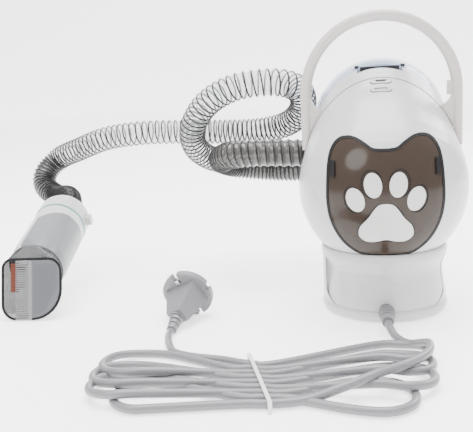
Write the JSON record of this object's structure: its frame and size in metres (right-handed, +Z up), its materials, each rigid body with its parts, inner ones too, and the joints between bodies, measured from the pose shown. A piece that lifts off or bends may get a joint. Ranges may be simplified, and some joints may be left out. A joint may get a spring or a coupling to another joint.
{
  "type": "pet grooming vacuum",
  "caption": "Round white grooming vacuum canister with an arch handle, clear dust cup, spiral hose, clipper handpiece and mains cord.",
  "frame": {"origin": "centre of the canister's base on the floor, below the round body", "axes": "+Z up, -Y towards the front window, +X to the right as seen from the front; the hose leaves towards -X"},
  "size_m": [0.5212, 0.4545, 0.2919],
  "materials": {
    "white_plastic": "gloss",
    "handle_plastic": "gloss",
    "smoke_window": "gloss",
    "clear_cup": "gloss",
    "shroud_plastic": "gloss",
    "dark_plastic": "matte",
    "grip_plastic": "satin",
    "rib_plastic": "matte",
    "brown_plastic": "satin",
    "teal_plastic": "gloss",
    "black_rubber": "matte",
    "grey_vinyl": "satin",
    "hose_film": "gloss",
    "tie_plastic": "gloss",
    "steel": "satin",
    "pin_metal": "gloss",
    "filter_paper": "matte",
    "sponge": "matte",
    "circuit_board": "satin",
    "copper_winding": "satin"
  },
  "bodies": {
    "housing": {"front_shell": "white_plastic", "window_gasket": "black_rubber", "face_tray": "dark_plastic", "exhaust_sponge": "sponge", "mid_housing": "white_plastic", "handle": "handle_plastic", "handle_screws": "steel", "cup_seal": "black_rubber", "inlet_duct": "dark_plastic", "plenum": "dark_plastic", "fan_housing": "dark_plastic", "motor_can": "steel", "motor_mount": "black_rubber", "chassis": "dark_plastic", "control_board": "circuit_board", "hose_port": "dark_plastic", "hose_cuff": "black_rubber", "hose": "hose_film", "hose_collar": "white_plastic", "teal_ring": "teal_plastic", "handpiece_shell": "white_plastic", "grip_cover": "grip_plastic", "tool_motor": "steel", "nozzle_shroud": "shroud_plastic", "shroud_rim": "black_rubber", "comb_blade": "steel", "comb_cover": "rib_plastic", "base_rim": "white_plastic", "base_rear_shell": "white_plastic", "base_front_panel": "white_plastic", "foot_ring": "white_plastic", "base_plate": "dark_plastic", "rubber_feet": "black_rubber", "base_screws": "steel", "mains_board": "circuit_board", "cord_gland": "grey_vinyl", "cord_lead": "grey_vinyl", "cord_hank": "grey_vinyl", "cord_tie": "tie_plastic", "cord_tail": "grey_vinyl", "plug_body": "grey_vinyl", "plug_pins": "pin_metal", "plug_contacts": "pin_metal"},
    "face_cover": {"face_window": "smoke_window", "paw_pads": "white_plastic", "window_clips": "black_rubber"},
    "dust_cup": {"dust_cup": "clear_cup", "filter_cage": "white_plastic", "pleated_filter": "filter_paper", "latch_screws": "dark_plastic"},
    "cup_latch": {"cup_latch": "dark_plastic"},
    "fan": {"impeller": "white_plastic", "motor_shaft": "steel", "motor_rotor": "copper_winding"},
    "power_button": {"power_button": "white_plastic"},
    "mode_button": {"mode_button": "white_plastic"},
    "cutter": {"cutter_blade": "steel", "cutter_carrier": "brown_plastic"},
    "tool_cam": {"tool_cam": "steel"},
    "release_tab": {"release_tab": "handle_plastic"}
  },
  "joints": [
    {"name": "face_cover_pull", "type": "slide", "parent": "housing", "child": "face_cover", "axis": [0, -1, 0], "range_m": [0, 0.06]},
    {"name": "dust_cup_pull", "type": "slide", "parent": "housing", "child": "dust_cup", "axis": [0, 1, 0], "range_m": [0, 0.09]},
    {"name": "cup_latch_press", "type": "slide", "parent": "dust_cup", "child": "cup_latch", "axis": [0, 1, 0], "range_m": [0, 0.003], "stiffness_N_per_m": 800, "springref_m": -0.001},
    {"name": "fan_spin", "type": "hinge", "parent": "housing", "child": "fan", "pos_m": [0, 0.014, 0.12], "axis": [0, 0, 1], "continuous": true},
    {"name": "power_button_press", "type": "slide", "parent": "housing", "child": "power_button", "axis": [0, 0.5505, -0.8348], "range_m": [0, 0.0012], "stiffness_N_per_m": 600, "springref_m": -0.001},
    {"name": "mode_button_press", "type": "slide", "parent": "housing", "child": "mode_button", "axis": [0, 0.5505, -0.8348], "range_m": [0, 0.0012], "stiffness_N_per_m": 600, "springref_m": -0.001},
    {"name": "cutter_slide", "type": "slide", "parent": "housing", "child": "cutter", "axis": [0.0192, -0.275, -0.9613], "range_m": [-0.0012, 0.0012]},
    {"name": "cam_spin", "type": "hinge", "parent": "housing", "child": "tool_cam", "pos_m": [-0.36978, -0.01792, 0.04713], "axis": [-0.0667, 0.954, 0.2924], "continuous": true},
    {"name": "release_tab_press", "type": "slide", "parent": "housing", "child": "release_tab", "axis": [-0.9973, -0.0544, -0.05], "range_m": [0, 0.002], "stiffness_N_per_m": 800, "springref_m": -0.001}
  ]
}
